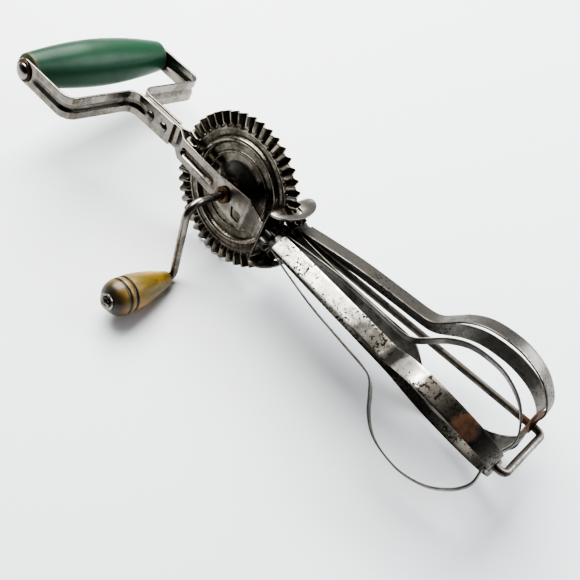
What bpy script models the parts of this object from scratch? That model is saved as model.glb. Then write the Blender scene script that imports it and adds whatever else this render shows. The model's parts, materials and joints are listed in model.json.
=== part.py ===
"""Rotary egg beater: D-handle with a wooden grip, side crank, stamped drive wheel, two pinions
and two four-winged dashers that turn on the legs of a U-shaped foot wire.

Sizes are in metres, +Z up. Every piece is built about the centre of the drive wheel: +X runs to
the dashers, -Y is the crank side. `wheel_centre` then lifts the whole object so that the world
origin lies under the middle of its bounding box.
"""

import bpy
import bmesh
from math import acos, atan2, cos, hypot, pi, radians, sin, sqrt, tan
from mathutils import Vector

MM = 0.001

# ---------------------------------------------------------------- driving dimensions

clearance = 0.3 * MM          # gap left between neighbouring pieces
running_clearance = 0.3 * MM  # radial play of a turning fit

# wooden grip and the rod through it
cross_to_grip = 34.5 * MM      # from the crosspiece to the grip's axis
grip_end_radius = 8.2 * MM
grip_middle_radius = 12.4 * MM
rod_radius = 2.3 * MM
rod_head_radius = 4.3 * MM
rod_head_height = 2.0 * MM
washer_radius = 5.6 * MM
washer_thickness = 0.7 * MM

# half straps: ear, side run, crosspiece, neck leg
strap_width = 12.6 * MM
strap_thickness = 1.3 * MM
strap_half_span = 44.6 * MM
cross_to_plate = 7.0 * MM      # from the crosspiece to the end of the frame plates
strap_to_bend = 4.0 * MM       # from the end of the strap to where the plates part
strap_outer_bend = 6.5 * MM
strap_inner_bend = 6.0 * MM

# frame plates
plate_thickness = 1.2 * MM
bend_to_wheel = 5.0 * MM       # from where the plates part to the wheel's rim
bend_run = 7.5 * MM            # length over which they part
plate_side_y = 5.6 * MM
plate_to_pinion = 4.1 * MM     # room for the plate, the guard and a gap
head_to_plate = 0.4 * MM       # from the head of the foot wire to the plate
plate_bend = 3.0 * MM
plate_neck_half_width = 5.9 * MM
plate_shoulder_x = 15.8 * MM
plate_shoulder_half_width = 9.2 * MM
plate_fold_half_width = 5.0 * MM
wheel_slot_half_width = 2.7 * MM

# neck rivets
rivet_to_strap_end = 6.2 * MM
rivet_spacing = 10.2 * MM
rivet_to_plate_end = 7.6 * MM
rivet_radius = 1.5 * MM
rivet_head_radius = 2.7 * MM
rivet_head_height = 1.2 * MM

# guard that carries the dasher axles
guard_thickness = 1.2 * MM
guard_half_height = 14.9 * MM
guard_wall_half_width = 11.8 * MM
guard_lobe_half_width = 15.8 * MM
guard_lobe_reach = 11.0 * MM
guard_bend = 2.0 * MM

# drive wheel
wheel_radius = 39.0 * MM
wheel_teeth = 45
tooth_band_width = 8.0 * MM
tooth_height = 1.25 * MM
wheel_sheet = 0.9 * MM
bead_radius = 26.0 * MM
bead_height = 2.0 * MM
bead_half_width = 2.1 * MM
dome_radius = 13.6 * MM
dome_height = 3.0 * MM

# shaft, crank and hub
shaft_radius = 2.0 * MM
hub_radius = 4.4 * MM
bush_barrel_radius = 3.4 * MM
bush_flange_radius = 4.7 * MM
bush_flange_thickness = 1.3 * MM
retainer_radius = 4.2 * MM
retainer_thickness = 1.4 * MM
crank_throw = 45.9 * MM
crank_rest_angle = radians(3.5)
crank_elbow_y = -33.0 * MM
crank_foot_y = -27.6 * MM
crank_elbow_bend = 7.5 * MM
crank_foot_bend = 3.6 * MM

# knob
knob_start_y = -31.4 * MM
knob_length = 37.4 * MM
knob_radius = 9.1 * MM
knob_neck_radius = 4.2 * MM
knob_groove_depth = 0.55 * MM
knob_washer_radius = 4.4 * MM
knob_washer_thickness = 0.9 * MM
spindle_head_radius = 2.9 * MM
spindle_head_height = 1.6 * MM

# dasher axles: the legs of one bent wire
wire_radius = 1.75 * MM
wire_head_radius = 2.7 * MM
wire_head_height = 1.4 * MM
wire_corner_bend = 3.0 * MM
axle_to_wheel = 0.5 * MM      # from the pinion teeth to the wheel's middle plane
dasher_reach = 146.95 * MM     # from the pinion to the crossbar, along X
leg_splay = radians(4.358452)  # each leg leans away from the middle by this much

# pinions
pinion_teeth = 9
pinion_to_band = 0.9 * MM     # from the tooth band's inner edge
pinion_face = 4.3 * MM
pinion_tip_radius = 7.6 * MM
pinion_root_radius = 4.7 * MM
pinion_tooth_tip = 1.3 * MM
pinion_tooth_root = 2.0 * MM
pinion_hub_radius = 3.4 * MM
boss_half_width = 4.3 * MM
boss_length = 9.0 * MM

# dashers: each has two loops of strip, crossed at the foot
loop_width = 8.6 * MM
loop_thickness = 0.8 * MM
loop_to_wheel = 1.05 * MM       # from the wheel's rim to the start of the loops
loop_waist = 76.0 * MM
loop_waist_radius = 11.2 * MM
loop_belly = 110.5 * MM
loop_belly_radius = 30.0 * MM
loop_foot_gap = 1.5 * MM        # from the end of the wire's straight leg to the foot washer
front_phase = radians(45.0)
rear_phase = radians(3.0)
foot_washer_radius = 3.6 * MM
foot_washer_thickness = 0.8 * MM

# ---------------------------------------------------------------- derived sizes

plate_open_x = -wheel_radius - bend_to_wheel
plate_side_x = plate_open_x + bend_run
strap_end_x = plate_open_x - strap_to_bend
rivet_near_x = strap_end_x - rivet_to_strap_end
rivet_far_x = rivet_near_x - rivet_spacing
plate_start_x = rivet_far_x - rivet_to_plate_end
strap_cross_x = plate_start_x - cross_to_plate
grip_x = strap_cross_x - cross_to_grip
tooth_band_inner = wheel_radius - tooth_band_width
pinion_start_x = tooth_band_inner + pinion_to_band
plate_fold_x = pinion_start_x - plate_to_pinion
axle_top_y = pinion_tip_radius + axle_to_wheel
plate_neck_y = (clearance + plate_thickness) / 2
strap_neck_y = clearance / 2 + plate_thickness + clearance + strap_thickness / 2
guard_wall_x = plate_fold_x + plate_thickness / 2 + clearance + guard_thickness / 2
pinion_x = pinion_start_x + pinion_face / 2
loop_start = wheel_radius - pinion_x + loop_to_wheel
axle_foot_x = pinion_x + dasher_reach
axle_foot_y = axle_top_y + dasher_reach * tan(leg_splay)
axle_run = Vector((axle_foot_x - pinion_x, axle_foot_y - axle_top_y))
axle_length = axle_run.length
splay = atan2(axle_run.y, axle_run.x)
leg_straight = axle_length - wire_corner_bend * tan((pi / 2 + splay) / 2)
plate_fold_y = (axle_top_y - (pinion_x - plate_fold_x) * tan(leg_splay) + wire_head_radius
                + head_to_plate + plate_thickness / 2)
plate_slope = (plate_fold_y - plate_side_y) / (plate_fold_x - plate_side_x)
plate_y_at_shaft = plate_side_y - plate_side_x * plate_slope
bush_face_y = plate_y_at_shaft + plate_thickness / 2 + clearance + plate_slope * bush_flange_radius
washer_y = strap_half_span + strap_thickness / 2 + clearance / 2
knob_end_y = knob_start_y - knob_length
foot_washer_u = leg_straight - loop_foot_gap - foot_washer_thickness / 2
outer_loop_u = foot_washer_u - foot_washer_thickness / 2 - clearance - loop_thickness / 2
inner_loop_u = outer_loop_u - loop_thickness - clearance

x_min = grip_x - grip_middle_radius
x_max = axle_foot_x + wire_radius
y_min = knob_end_y - clearance * 2 - knob_washer_thickness - spindle_head_height
y_max = washer_y + washer_thickness + clearance / 2 + rod_head_height
z_min = -crank_throw * cos(crank_rest_angle) - knob_radius
wheel_centre = Vector((-(x_min + x_max) / 2, -(y_min + y_max) / 2, -z_min))

# ---------------------------------------------------------------- scene and materials

for old in list(bpy.data.objects):
    bpy.data.objects.remove(old, do_unlink=True)

beater = bpy.data.collections.new("rotary_egg_beater")
cutters = bpy.data.collections.new("cutters")
bpy.context.scene.collection.children.link(beater)
bpy.context.scene.collection.children.link(cutters)


def make_material(name, colour, roughness, metallic):
    material = bpy.data.materials.new(name)
    material.use_nodes = True
    shader = material.node_tree.nodes["Principled BSDF"]
    shader.inputs["Base Color"].default_value = (*colour, 1.0)
    shader.inputs["Roughness"].default_value = roughness
    shader.inputs["Metallic"].default_value = metallic
    material.diffuse_color = (*colour, 1.0)
    return material


green_paint = make_material("green painted wood", (0.05, 0.16, 0.09), 0.45, 0.0)
ochre_wood = make_material("ochre stained wood", (0.30, 0.20, 0.03), 0.40, 0.0)
nickel = make_material("nickel-plated steel", (0.62, 0.60, 0.56), 0.28, 1.0)
wheel_nickel = make_material("worn nickel plate", (0.42, 0.40, 0.36), 0.38, 1.0)
pinion_steel = make_material("blackened steel", (0.12, 0.12, 0.12), 0.45, 1.0)
tinned_strip = make_material("tinned steel strip", (0.50, 0.50, 0.48), 0.35, 1.0)
bare_wire = make_material("bare steel wire", (0.30, 0.29, 0.28), 0.40, 1.0)
brown_steel = make_material("rust-stained steel", (0.25, 0.17, 0.11), 0.55, 1.0)

# ---------------------------------------------------------------- modelling helpers


def place(name, mesh, material, offset=(0, 0, 0), rotation=(0, 0, 0)):
    """Link a mesh as one named piece, placed from the wheel centre."""
    piece = bpy.data.objects.new(name, mesh)
    piece.location = wheel_centre + Vector(offset)
    piece.rotation_euler = rotation
    if material is None:
        cutters.objects.link(piece)
        piece.hide_render = True
        piece.display_type = "WIRE"
    else:
        mesh.materials.append(material)
        beater.objects.link(piece)
    return piece


def mesh_from(name, build):
    """Make a mesh with bmesh and leave its normals pointing outwards."""
    bm = bmesh.new()
    build(bm)
    bmesh.ops.recalc_face_normals(bm, faces=bm.faces)
    mesh = bpy.data.meshes.new(name)
    bm.to_mesh(mesh)
    bm.free()
    return mesh


def prism(name, outline, depth, axis):
    """A closed prism: `outline` in the plane across `axis`, centred on that plane."""
    def point(a, b, c):
        return {"X": (c, a, b), "Y": (a, c, b), "Z": (a, b, c)}[axis]

    def build(bm):
        face = bm.faces.new([bm.verts.new(point(a, b, -depth / 2)) for a, b in outline])
        made = bmesh.ops.extrude_face_region(bm, geom=[face])["geom"]
        top = [item for item in made if isinstance(item, bmesh.types.BMVert)]
        bmesh.ops.translate(bm, verts=top, vec=point(0, 0, depth))

    return mesh_from(name, build)


def turned(name, profile, material, axis="Y", segments=16, offset=(0, 0, 0), rotation=None):
    """Spin a closed or axis-to-axis (radius, height) profile; height runs along `axis`."""
    mesh = bpy.data.meshes.new(name)
    ring = profile[0][0] > 0
    count = len(profile)
    edges = [(i, i + 1) for i in range(count - 1)] + ([(count - 1, 0)] if ring else [])
    mesh.from_pydata([(radius, 0, height) for radius, height in profile], edges, [])
    turn = {"Y": (-pi / 2, 0, 0), "X": (0, pi / 2, 0), "Z": (0, 0, 0)}[axis]
    piece = place(name, mesh, material, offset, rotation or turn)
    screw = piece.modifiers.new("spin", "SCREW")
    screw.axis = "Z"
    screw.steps = segments
    screw.render_steps = segments
    screw.use_merge_vertices = True
    screw.merge_threshold = 0.00001
    return piece


def combine(piece, cutter, operation="DIFFERENCE"):
    modifier = piece.modifiers.new(operation.lower(), "BOOLEAN")
    modifier.operation = operation
    modifier.solver = "EXACT"
    modifier.object = cutter


def drill(piece, radius, offset, axis="Y", depth=20 * MM, rotation=None):
    """Cut a round hole through a piece."""
    half = depth / 2
    profile = [(0, half), (radius, half), (radius, -half), (0, -half)]
    tool = turned(piece.name + "_drill", profile, None, axis, 16, offset, rotation)
    combine(piece, tool)


def rounded(corners, bends, steps=6):
    """Replace each inner corner of a polyline with an arc of the given radius."""
    path = [Vector(corners[0])]
    for before, corner, after, bend in zip(corners, corners[1:], corners[2:], bends):
        corner = Vector(corner)
        into = (corner - Vector(before)).normalized()
        out = (Vector(after) - corner).normalized()
        turn = acos(max(-1.0, min(1.0, into.dot(out))))
        reach = bend * tan(turn / 2)
        start = corner - into * reach
        middle = corner + (out - into).normalized() * (bend / cos(turn / 2))
        spoke = start - middle
        side = into * bend
        for step in range(steps + 1):
            angle = turn * step / steps
            path.append(middle + spoke * cos(angle) + side * sin(angle))
    path.append(Vector(corners[-1]))
    return path


def sheet(name, path, width, thickness, material, axis="Z", **where):
    """Bend a flat strip of even thickness along a path; its width runs along `axis`."""
    across = Vector((0, 0, width / 2)) if axis == "Z" else Vector((0, width / 2, 0))

    def build(bm):
        rows = [(bm.verts.new(p - across), bm.verts.new(p + across)) for p in path]
        for (a, b), (c, d) in zip(rows, rows[1:]):
            bm.faces.new((a, c, d, b))

    piece = place(name, mesh_from(name, build), material, **where)
    solid = piece.modifiers.new("sheet thickness", "SOLIDIFY")
    solid.thickness = thickness
    solid.offset = 0
    solid.use_even_offset = True
    return piece


def rod(name, path, radius, material, radii=None, sides=2, offset=(0, 0, 0)):
    """A round bar along a path, with closed ends; `radii` scales it point by point."""
    curve = bpy.data.curves.new(name, "CURVE")
    curve.dimensions = "3D"
    curve.bevel_depth = radius
    curve.bevel_resolution = sides
    curve.use_fill_caps = True
    spline = curve.splines.new("POLY")
    spline.points.add(len(path) - 1)
    for point, place_at in zip(spline.points, path):
        point.co = (*place_at, 1)
    for point, scale in zip(spline.points, radii or []):
        point.radius = scale
    return place(name, curve, material, offset)


def arc(centre, radius_a, radius_b, start, end, steps):
    """Points of an elliptical arc."""
    angles = [start + (end - start) * i / steps for i in range(steps + 1)]
    return [(centre[0] + radius_a * cos(a), centre[1] + radius_b * sin(a)) for a in angles]


def dome(radius, height, base, steps=3):
    """Profile of a domed head from its rim to the axis, rising from `base`."""
    return [(radius * cos(i * pi / 2 / steps), base + height * sin(i * pi / 2 / steps))
            for i in range(steps)] + [(0, base + height)]


def on_side(profile, side):
    """The same ring on the front (-1) or the rear (+1), still listed from top to bottom."""
    return profile if side > 0 else [(r, -h) for r, h in reversed(profile)]


def two_headed(name, shank, head, height, grip, material, offset):
    """A rivet along Y: a shank with a domed head at each end."""
    top = dome(head, height, grip)
    bottom = [(r, -h) for r, h in reversed(top)]
    profile = top[::-1] + [(shank, grip), (shank, -grip)] + bottom[::-1]
    return turned(name, profile, material, "Y", 14, offset)


# ---------------------------------------------------------------- handle

grip_half = strap_half_span - strap_thickness / 2 - clearance


def build_handle():
    steps = 10
    swell = grip_middle_radius - grip_end_radius
    barrel = []
    for i in range(steps + 1):
        height = grip_half * (1 - 2 * i / steps)
        barrel.append((grip_end_radius + swell * cos(height / grip_half * pi / 2) ** 0.9, height))
    lip = 1.2 * MM
    barrel[0] = (grip_end_radius - lip / 2, grip_half)
    barrel[-1] = (grip_end_radius - lip / 2, -grip_half)
    barrel.insert(1, (grip_end_radius, grip_half - lip))
    barrel.insert(-1, (grip_end_radius, -grip_half + lip))
    bore = rod_radius + clearance
    profile = [(bore, grip_half)] + barrel + [(bore, -grip_half)]
    turned("grip", profile, green_paint, "Y", 20, (grip_x, 0, 0))

    head_y = washer_y + washer_thickness + clearance / 2
    two_headed("grip_rod", rod_radius, rod_head_radius, rod_head_height, head_y,
               nickel, (grip_x, 0, 0))
    for side, label in ((-1, "front"), (1, "rear")):
        near, far = washer_y, washer_y + washer_thickness
        ring = [(rod_radius + clearance, far), (washer_radius, far),
                (washer_radius, near), (rod_radius + clearance, near)]
        turned(label + "_grip_washer", on_side(ring, side), brown_steel, "Y", 20, (grip_x, 0, 0))


def strap_outline():
    """Side view of a half strap: rounded at the ear, square at the neck."""
    half = strap_width / 2
    ear = arc((grip_x, 0), half, half, pi / 2, 3 * pi / 2, 10)
    return ear + [(strap_end_x, -half), (strap_end_x, half)]


def build_half_strap(side, label):
    reach = strap_width
    corners = [(grip_x - reach, side * strap_half_span, 0),
               (strap_cross_x, side * strap_half_span, 0),
               (strap_cross_x, side * strap_neck_y, 0),
               (strap_end_x + reach, side * strap_neck_y, 0)]
    path = rounded(corners, (strap_outer_bend, strap_inner_bend))
    strap = sheet(label + "_half_strap", path, strap_width + 4 * MM, strap_thickness, nickel)
    outline = place(label + "_strap_outline",
                    prism("outline", strap_outline(), 3 * strap_half_span, "Y"), None)
    combine(strap, outline, "INTERSECT")
    ear = (grip_x, side * strap_half_span, 0)
    drill(strap, rod_radius + clearance, ear)
    for x in (rivet_near_x, rivet_far_x):
        drill(strap, rivet_radius + clearance, (x, side * strap_neck_y, 0), depth=6 * MM)


# ---------------------------------------------------------------- frame plates and guard


def plate_outline():
    """Side view of a frame plate: neck, side run, shoulder and taper to the fold."""
    edge = [(plate_start_x, plate_neck_half_width), (plate_side_x, plate_neck_half_width),
            (-plate_shoulder_x / 2, plate_neck_half_width + 0.5 * MM),
            (plate_shoulder_x - 3 * MM, plate_shoulder_half_width - 0.4 * MM),
            (plate_shoulder_x, plate_shoulder_half_width),
            (plate_shoulder_x + 2 * MM, plate_shoulder_half_width - 1.2 * MM),
            (plate_fold_x - 2 * MM, plate_fold_half_width),
            (plate_fold_x + 4 * MM, plate_fold_half_width)]
    return edge + [(x, -z) for x, z in reversed(edge)]


def build_frame_plate(side, label):
    corners = [(plate_start_x - 5 * MM, side * plate_neck_y, 0),
               (plate_open_x, side * plate_neck_y, 0),
               (plate_side_x, side * plate_side_y, 0),
               (plate_fold_x, side * plate_fold_y, 0),
               (plate_fold_x, side * wheel_slot_half_width, 0)]
    path = rounded(corners, (plate_bend, plate_bend, plate_thickness), 4)
    plate = sheet(label + "_frame_plate", path, 24 * MM, plate_thickness, nickel)
    outline = place(label + "_plate_outline",
                    prism("outline", plate_outline(), 60 * MM, "Y"), None)
    combine(plate, outline, "INTERSECT")
    shaft_hole = bush_barrel_radius + clearance
    drill(plate, shaft_hole, (0, side * plate_y_at_shaft, 0), depth=8 * MM)
    for x in (rivet_near_x, rivet_far_x):
        drill(plate, rivet_radius + clearance, (x, side * plate_neck_y, 0), depth=4 * MM)
    drill_for_axle(plate, side, plate_fold_x)


def axle_y(x):
    return axle_top_y + (x - pinion_x) * tan(splay)


def drill_for_axle(piece, side, x):
    turn = (0, pi / 2, side * splay)
    drill(piece, wire_radius + clearance, (x, side * axle_y(x), 0), "X", 8 * MM, turn)


def build_guard():
    tip_x = guard_wall_x + guard_lobe_reach + 5 * MM
    corners = [(tip_x, 0, guard_half_height), (guard_wall_x, 0, guard_half_height),
               (guard_wall_x, 0, -guard_half_height), (tip_x, 0, -guard_half_height)]
    path = rounded(corners, (guard_bend, guard_bend), 4)
    width = 2 * guard_lobe_half_width + 6 * MM
    guard = sheet("pinion_guard", path, width, guard_thickness, nickel, "Y")
    root_x = guard_wall_x + 2.5 * MM
    lobe = arc((root_x, 0), guard_lobe_reach - 2.5 * MM, guard_lobe_half_width, -pi / 2, pi / 2, 20)
    wall = guard_wall_x - guard_thickness
    edge = lobe + [(wall, guard_wall_half_width), (wall, -guard_wall_half_width)]
    outline = place("guard_outline", prism("outline", edge, 60 * MM, "Z"), None)
    combine(guard, outline, "INTERSECT")
    rim_at_lobe = sqrt(wheel_radius ** 2 - (guard_half_height - guard_thickness) ** 2)
    slot_end = rim_at_lobe + 3 * clearance
    w = wheel_slot_half_width
    slot = [(wall - guard_thickness, -w), (slot_end, -w), (slot_end, w), (wall - guard_thickness, w)]
    combine(guard, place("wheel_slot", prism("slot", slot, 50 * MM, "Z"), None))
    for side in (-1, 1):
        drill_for_axle(guard, side, guard_wall_x)


def build_neck_rivets():
    shank_half = strap_neck_y + strap_thickness / 2 + clearance / 2
    for label, x in (("near", rivet_near_x), ("far", rivet_far_x)):
        two_headed(label + "_neck_rivet", rivet_radius, rivet_head_radius, rivet_head_height,
                   shank_half, nickel, (x, 0, 0))


# ---------------------------------------------------------------- wheel, shaft and crank


def tooth_wave(radius, angle):
    """Offset of the stamped sheet at one point of the tooth band."""
    rise = max(0.0, min(1.0, (radius - tooth_band_inner) / (1.0 * MM)))
    return -tooth_height * rise * cos(wheel_teeth * angle)


def wheel_section():
    """Radius and offset of the plain rings, from the bore outwards."""
    dome_edge = dome_radius - dome_height
    return [(shaft_radius + clearance, -dome_height),
            (hub_radius + 1.2 * MM, -dome_height),
            (dome_edge, -dome_height * 0.72),
            (dome_radius, 0),
            (bead_radius - bead_half_width, 0),
            (bead_radius - bead_half_width / 3, -bead_height),
            (bead_radius + bead_half_width / 3, -bead_height),
            (bead_radius + bead_half_width, 0)]


def build_drive_wheel():
    coarse = wheel_teeth
    fine = 4 * wheel_teeth

    def build(bm):
        def ring(radius, count, offset):
            angles = [2 * pi * i / count for i in range(count)]
            return [bm.verts.new((radius * cos(a), offset(a), radius * sin(a))) for a in angles]

        def band(inner, outer):
            many, few = len(outer), len(inner)
            for i in range(few):
                step = many // few
                a, b = inner[i], inner[(i + 1) % few]
                rim = [outer[(i * step + k) % many] for k in range(step + 1)]
                if step == 1:
                    bm.faces.new((a, b, rim[1], rim[0]))
                    continue
                half = step // 2
                for k in range(step):
                    bm.faces.new(((a if k < half else b), rim[k + 1], rim[k]))
                bm.faces.new((a, b, rim[half]))

        rings = [ring(r, coarse, lambda a, y=y: y) for r, y in wheel_section()]
        for radius in (tooth_band_inner, tooth_band_inner + 1.0 * MM, wheel_radius):
            rings.append(ring(radius, fine, lambda a, r=radius: tooth_wave(r, a)))
        for inner, outer in zip(rings, rings[1:]):
            band(inner, outer)

    wheel = place("drive_wheel", mesh_from("drive_wheel", build), wheel_nickel)
    solid = wheel.modifiers.new("sheet thickness", "SOLIDIFY")
    solid.thickness = wheel_sheet
    solid.offset = 0


def build_shaft_fittings():
    bore = shaft_radius + running_clearance
    inner = plate_y_at_shaft - plate_thickness / 2 - 2 * clearance
    flange = bush_face_y + bush_flange_thickness
    bush = [(bore, flange), (bush_flange_radius - 0.4 * MM, flange),
            (bush_flange_radius, flange - 0.4 * MM), (bush_flange_radius, bush_face_y),
            (bush_barrel_radius, bush_face_y), (bush_barrel_radius, inner), (bore, inner)]
    for side, label in ((-1, "front"), (1, "rear")):
        turned(label + "_shaft_bush", on_side(bush, side), brown_steel)

    hub_half = inner - clearance
    dome_face = dome_height + wheel_sheet / 2 + clearance
    front_hub = [(bore, -dome_face), (hub_radius, -dome_face),
                 (hub_radius, -hub_half), (bore, -hub_half)]
    turned("front_wheel_hub", front_hub, brown_steel)
    behind = -dome_height + wheel_sheet / 2 + clearance
    rear_hub = [(bore, hub_half), (hub_radius, hub_half), (hub_radius, behind), (bore, behind)]
    turned("rear_wheel_hub", rear_hub, brown_steel)

    near = flange + clearance
    far = near + retainer_thickness
    ring = [(bore, far), (retainer_radius, far), (retainer_radius, near), (bore, near)]
    turned("crank_retainer", ring, nickel)
    return far


def build_crank(shaft_end):
    drop = Vector((sin(crank_rest_angle), 0, -cos(crank_rest_angle))) * crank_throw
    tip_y = knob_end_y - 2 * clearance - knob_washer_thickness
    corners = [(0, shaft_end + 1.0 * MM, 0), (0, crank_elbow_y, 0),
               (drop.x, crank_foot_y, drop.z), (drop.x, tip_y, drop.z)]
    path = rounded(corners, (crank_elbow_bend, crank_foot_bend), 8)
    head = spindle_head_radius / shaft_radius
    rim = Vector((0, -0.05 * MM, 0))
    path += [path[-1] + rim, path[-1] + rim * (0.6 * spindle_head_height / -rim.y),
             path[-1] - Vector((0, spindle_head_height, 0))]
    radii = [1.0] * (len(path) - 3) + [head, head, head * 0.6]
    rod("crank_rod", path, shaft_radius, nickel, radii, 2)
    return drop


def build_knob(drop):
    bore = shaft_radius + running_clearance
    length = knob_length
    groove = knob_groove_depth
    silhouette = [(0.0, knob_neck_radius - 0.6 * MM), (0.03, knob_neck_radius),
                  (0.28, 6.9 * MM), (0.48, 8.4 * MM), (0.64, knob_radius)]
    silhouette += [(0.69, knob_radius), (0.705, knob_radius - groove), (0.73, knob_radius - groove),
                   (0.745, knob_radius), (0.79, knob_radius), (0.805, knob_radius - groove),
                   (0.83, knob_radius - groove), (0.845, knob_radius - 0.05 * MM)]
    silhouette += [(0.92, knob_radius - 0.9 * MM), (0.97, knob_radius - 2.5 * MM),
                   (1.0, knob_radius - 4.6 * MM)]
    profile = [(r, knob_start_y - t * length) for t, r in silhouette]
    profile = [(bore, knob_start_y)] + profile + [(bore, knob_end_y)]
    turned("knob", profile, ochre_wood, "Y", 20, drop)
    near = knob_end_y - clearance
    far = near - knob_washer_thickness
    bore = shaft_radius + clearance
    ring = [(bore, near), (knob_washer_radius, near), (knob_washer_radius, far), (bore, far)]
    turned("knob_washer", ring, nickel, "Y", 20, drop)


# ---------------------------------------------------------------- foot wire and dashers


def build_foot_wire():
    head_x = plate_fold_x - plate_thickness / 2 - clearance
    tall = wire_head_radius / wire_radius

    def leg(side, x):
        return Vector((x, side * axle_y(x), 0))

    corners = [leg(-1, head_x), leg(-1, axle_foot_x), leg(1, axle_foot_x), leg(1, head_x)]
    path = rounded(corners, (wire_corner_bend, wire_corner_bend), 8)
    near, far = head_x - 0.05 * MM, head_x - wire_head_height
    path = [leg(-1, far), leg(-1, near)] + path + [leg(1, near), leg(1, far)]
    radii = [tall, tall] + [1.0] * (len(path) - 4) + [tall, tall]
    rod("foot_wire", path, wire_radius, bare_wire, radii, 2)


def blend(points, samples):
    """A smooth curve through a few points (Catmull-Rom)."""
    ends = [2 * points[0] - points[1]] + points + [2 * points[-1] - points[-2]]
    path = []
    for p0, p1, p2, p3 in zip(ends, ends[1:], ends[2:], ends[3:]):
        for i in range(samples):
            t = i / samples
            path.append(0.5 * (2 * p1 + (p2 - p0) * t + (2 * p0 - 5 * p1 + 4 * p2 - p3) * t ** 2
                               + (3 * p1 - p0 - 3 * p2 + p3) * t ** 3))
    return path + [points[-1]]


# how a wing leaves its straight line: (share of the run, share of the change in radius)
wing_spread = ((0.0, 0.0), (0.20, 0.32), (0.457, 0.677), (0.771, 0.871))
wing_rise = ((0.0, 0.0), (0.174, 0.096), (0.304, 0.319), (0.478, 0.649), (0.71, 0.904))
wing_fall = ((0.0, 1.0), (0.33, 0.983), (0.68, 0.853), (0.925, 0.633), (1.04, 0.40))


def wing_path(foot_u):
    """Half a loop in (along the axle, away from it): long leg, belly, curl to the foot."""
    close = boss_half_width + clearance + loop_thickness / 2
    spread = loop_waist_radius - close
    rise = loop_belly_radius - loop_waist_radius
    shape = [(loop_start + along * (loop_waist - loop_start), close + away * spread)
             for along, away in wing_spread]
    shape += [(loop_waist + along * (loop_belly - loop_waist), loop_waist_radius + away * rise)
              for along, away in wing_rise]
    shape += [(loop_belly + along * (foot_u - loop_belly), away * loop_belly_radius)
              for along, away in wing_fall]
    shape.append((foot_u, loop_width / 2 + 2 * clearance))
    return blend([Vector((u, 0, away)) for u, away in shape], 3)


def build_loop(name, side, phase, foot_u, top):
    wing = wing_path(foot_u)
    other = [Vector((p.x, 0, -p.z)) for p in reversed(wing)]
    where = dict(offset=top, rotation=(phase, 0, side * splay))
    loop = sheet(name, wing + other, loop_width, loop_thickness, tinned_strip, "Y", **where)
    turn = (0, pi / 2, side * splay)
    hole = wire_radius + running_clearance
    x = pinion_x + foot_u * cos(splay)
    drill(loop, hole, (x, side * axle_y(x), 0), "X", 6 * MM, turn)


def pinion_outline():
    points = []
    for tooth in range(pinion_teeth):
        middle = 2 * pi * tooth / pinion_teeth
        for radius, half in ((pinion_root_radius, -pinion_tooth_root / 2),
                             (pinion_tip_radius, -pinion_tooth_tip / 2),
                             (pinion_tip_radius, pinion_tooth_tip / 2),
                             (pinion_root_radius, pinion_tooth_root / 2)):
            angle = middle + half / radius
            points.append((radius * cos(angle), radius * sin(angle)))
    return points


def build_pinion(side, label, phase, tooth_turn, top):
    """Teeth, a short hub towards the guard and a square boss for the loops."""
    name = label + "_pinion"
    spin = dict(offset=top, rotation=(tooth_turn, 0, side * splay))
    pinion = place(name, prism(name, pinion_outline(), pinion_face, "X"), pinion_steel, **spin)
    hub_end = pinion_x - guard_wall_x - guard_thickness / 2 - 2 * clearance
    turn = (0, pi / 2, side * splay)
    profile = [(0, 0), (pinion_hub_radius, 0), (pinion_hub_radius, -hub_end), (0, -hub_end)]
    combine(pinion, turned(name + "_hub", profile, None, "X", 16, top, turn), "UNION")
    b = boss_half_width
    end = pinion_face / 2 + boss_length
    square = [(-b, -b), (b, -b), (b, b), (-b, b)]
    boss = place(name + "_boss", prism("boss", square, 2 * end, "X"), None, top,
                 (phase, 0, side * splay))
    half_space = [(0, -2 * b), (2 * end, -2 * b), (2 * end, 2 * b), (0, 2 * b)]
    keep = place(name + "_boss_end", prism("end", half_space, 4 * b, "Z"), None, top,
                 (phase, 0, side * splay))
    combine(boss, keep, "INTERSECT")
    combine(pinion, boss, "UNION")
    drill(pinion, wire_radius + running_clearance, top, "X", 40 * MM, turn)


def build_dasher(side, label, phase, tooth_turn):
    top = (pinion_x, side * axle_top_y, 0)
    build_pinion(side, label, phase, tooth_turn, top)
    build_loop(label + "_outer_loop", side, phase, outer_loop_u, top)
    build_loop(label + "_inner_loop", side, phase + pi / 2, inner_loop_u, top)
    x = pinion_x + foot_washer_u * cos(splay)
    half = foot_washer_thickness / 2
    bore = wire_radius + running_clearance
    ring = [(bore, half), (foot_washer_radius, half), (foot_washer_radius, -half), (bore, -half)]
    turned(label + "_foot_washer", ring, brown_steel, "X", 20,
           (x, side * axle_y(x), 0), (0, pi / 2, side * splay))


# ---------------------------------------------------------------- build

build_handle()
for side, label in ((-1, "front"), (1, "rear")):
    build_half_strap(side, label)
    build_frame_plate(side, label)
build_guard()
build_neck_rivets()
build_drive_wheel()
crank_drop = build_crank(build_shaft_fittings())
build_knob(crank_drop)
build_foot_wire()
# at rest the wheel shows a crest to the front pinion and a valley to the rear one
build_dasher(-1, "front", front_phase, pi / pinion_teeth)
build_dasher(1, "rear", rear_phase, pi)
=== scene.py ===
import bpy
import bmesh
import json
from math import acos, cos, hypot, pi, radians, sin, sqrt, tan
from mathutils import Euler, Matrix, Vector


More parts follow.
